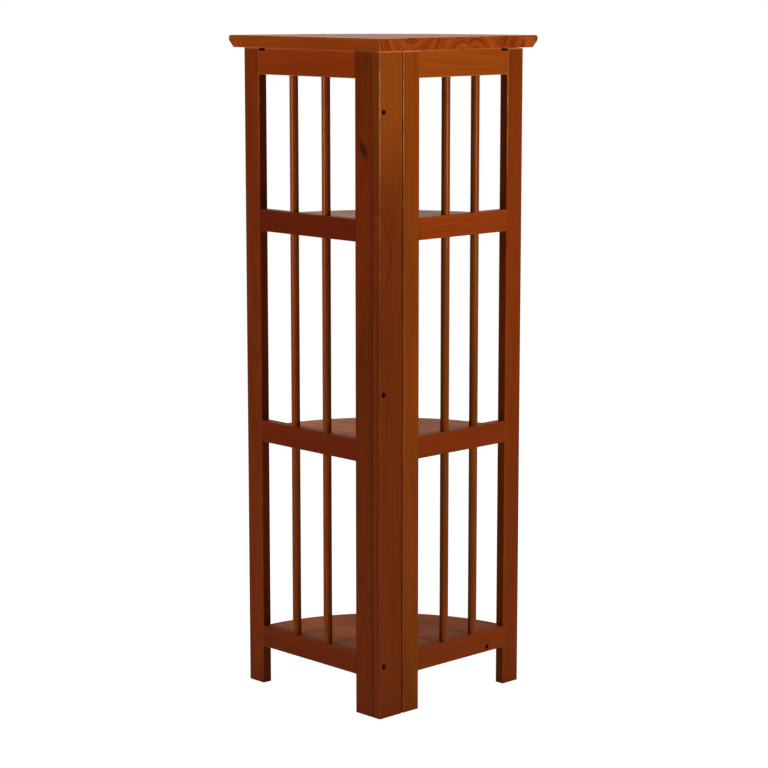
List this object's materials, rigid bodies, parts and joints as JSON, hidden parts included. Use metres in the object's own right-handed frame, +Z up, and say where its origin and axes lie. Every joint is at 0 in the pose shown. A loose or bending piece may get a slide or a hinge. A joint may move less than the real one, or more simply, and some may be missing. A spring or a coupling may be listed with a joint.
{
  "type": "folding corner bookcase",
  "caption": "Folding corner bookcase: two slatted wooden side panels at a right angle, quarter-round shelves that fold up on hinges, and a moulded quarter-round top that lifts off.",
  "frame": {"origin": "on the floor, under the middle of the top's square outline", "axes": "+Z up; the left panel's wall side faces -X, the right panel's faces -Y, and the open front faces +X +Y"},
  "size_m": [0.4, 0.4, 1.213],
  "materials": {
    "frame_wood": "satin",
    "top_wood": "satin",
    "shelf_wood": "satin",
    "hinge_brass": "satin",
    "screw_steel": "satin"
  },
  "bodies": {
    "frame": {"left_inner_stile": "frame_wood", "left_outer_stile": "frame_wood", "right_inner_stile": "frame_wood", "right_outer_stile": "frame_wood", "left_top_rail": "frame_wood", "left_upper_rail": "frame_wood", "left_middle_rail": "frame_wood", "left_bottom_rail": "frame_wood", "right_top_rail": "frame_wood", "right_upper_rail": "frame_wood", "right_middle_rail": "frame_wood", "right_bottom_rail": "frame_wood", "left_top_spindle_1": "frame_wood", "left_top_spindle_2": "frame_wood", "left_upper_spindle_1": "frame_wood", "left_upper_spindle_2": "frame_wood", "left_middle_spindle_1": "frame_wood", "left_middle_spindle_2": "frame_wood", "right_top_spindle_1": "frame_wood", "right_top_spindle_2": "frame_wood", "right_upper_spindle_1": "frame_wood", "right_upper_spindle_2": "frame_wood", "right_middle_spindle_1": "frame_wood", "right_middle_spindle_2": "frame_wood", "corner_strip": "frame_wood", "strip_screws": "screw_steel", "top_pegs": "frame_wood", "upper_rail_leaves": "hinge_brass", "upper_hinge_pins": "hinge_brass", "upper_rail_screws": "screw_steel", "upper_shelf_rest": "frame_wood", "middle_rail_leaves": "hinge_brass", "middle_hinge_pins": "hinge_brass", "middle_rail_screws": "screw_steel", "middle_shelf_rest": "frame_wood", "bottom_rail_leaves": "hinge_brass", "bottom_hinge_pins": "hinge_brass", "bottom_rail_screws": "screw_steel", "bottom_shelf_rest": "frame_wood", "bottom_rest_screw": "screw_steel", "shelf_rest_screws": "screw_steel", "fold_strip_leaves": "hinge_brass", "fold_panel_leaves": "hinge_brass", "fold_hinge_pins": "hinge_brass", "fold_hinge_screws": "screw_steel"},
    "upper_shelf": {"upper_shelf": "shelf_wood", "upper_shelf_leaves": "hinge_brass", "upper_shelf_screws": "screw_steel"},
    "middle_shelf": {"middle_shelf": "shelf_wood", "middle_shelf_leaves": "hinge_brass", "middle_shelf_screws": "screw_steel"},
    "bottom_shelf": {"bottom_shelf": "shelf_wood", "bottom_shelf_leaves": "hinge_brass", "bottom_shelf_screws": "screw_steel"},
    "top": {"top_board": "top_wood", "top_lipping": "top_wood"}
  },
  "joints": [
    {"name": "upper_shelf_fold", "type": "hinge", "parent": "frame", "child": "upper_shelf", "pos_m": [-0.1782, -0.02, 0.888], "axis": [0, -1, 0], "range_deg": [0, 90]},
    {"name": "middle_shelf_fold", "type": "hinge", "parent": "frame", "child": "middle_shelf", "pos_m": [-0.1782, -0.02, 0.4945], "axis": [0, -1, 0], "range_deg": [0, 90]},
    {"name": "bottom_shelf_fold", "type": "hinge", "parent": "frame", "child": "bottom_shelf", "pos_m": [-0.1782, -0.02, 0.1065], "axis": [0, -1, 0], "range_deg": [0, 90]},
    {"name": "top_lift", "type": "slide", "parent": "frame", "child": "top", "axis": [0, 0, 1], "range_m": [0, 0.1]}
  ]
}
